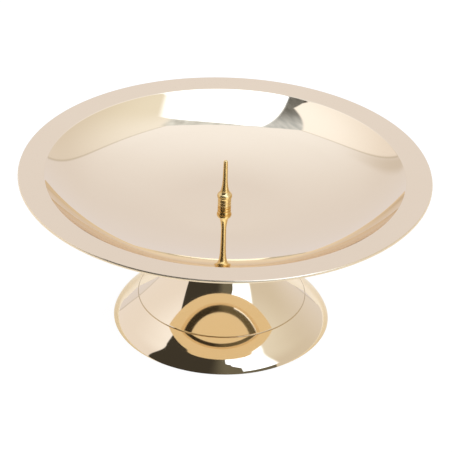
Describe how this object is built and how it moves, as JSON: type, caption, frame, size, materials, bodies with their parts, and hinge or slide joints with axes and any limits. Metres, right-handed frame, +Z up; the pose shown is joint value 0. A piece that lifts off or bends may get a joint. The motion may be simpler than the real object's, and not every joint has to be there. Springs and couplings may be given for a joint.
{
  "type": "pricket candle stand",
  "caption": "Round brass candle stand: a flat-rimmed drip dish on a flared hollow foot, with a turned spike that holds the candle and screws the two together.",
  "frame": {"origin": "middle of the resting plane under the foot", "axes": "+Z up along the axis that everything is spun about; the part is round, so X and Y are free"},
  "size_m": [0.16, 0.16, 0.0704],
  "materials": {
    "spun_brass": "mirror polished",
    "turned_brass": "polished",
    "zinc_steel": "zinc plated"
  },
  "bodies": {
    "foot": {"foot": "spun_brass"},
    "dish": {"dish": "spun_brass"},
    "pricket": {"pricket": "turned_brass"},
    "washers": {"flat_washer": "zinc_steel", "spring_washer": "zinc_steel"},
    "nut": {"hex_nut": "zinc_steel"}
  },
  "joints": [
    {"name": "dish_lift", "type": "slide", "parent": "foot", "child": "dish", "axis": [0, 0, 1], "range_m": [0, 0.008]},
    {"name": "pricket_lift", "type": "slide", "parent": "dish", "child": "pricket", "axis": [0, 0, 1], "range_m": [0, 0.009]},
    {"name": "washer_drop", "type": "slide", "parent": "foot", "child": "washers", "axis": [0, 0, -1], "range_m": [0, 0.00525]},
    {"name": "nut_turn", "type": "hinge", "parent": "washers", "child": "nut", "pos_m": [0, 0, 0.0454], "axis": [0, 0, -1], "range_deg": [0, 2700]}
  ],
  "couplings": [
    {"joint": "nut_turn", "follows": "washer_drop", "rad_per_m": 8976}
  ]
}
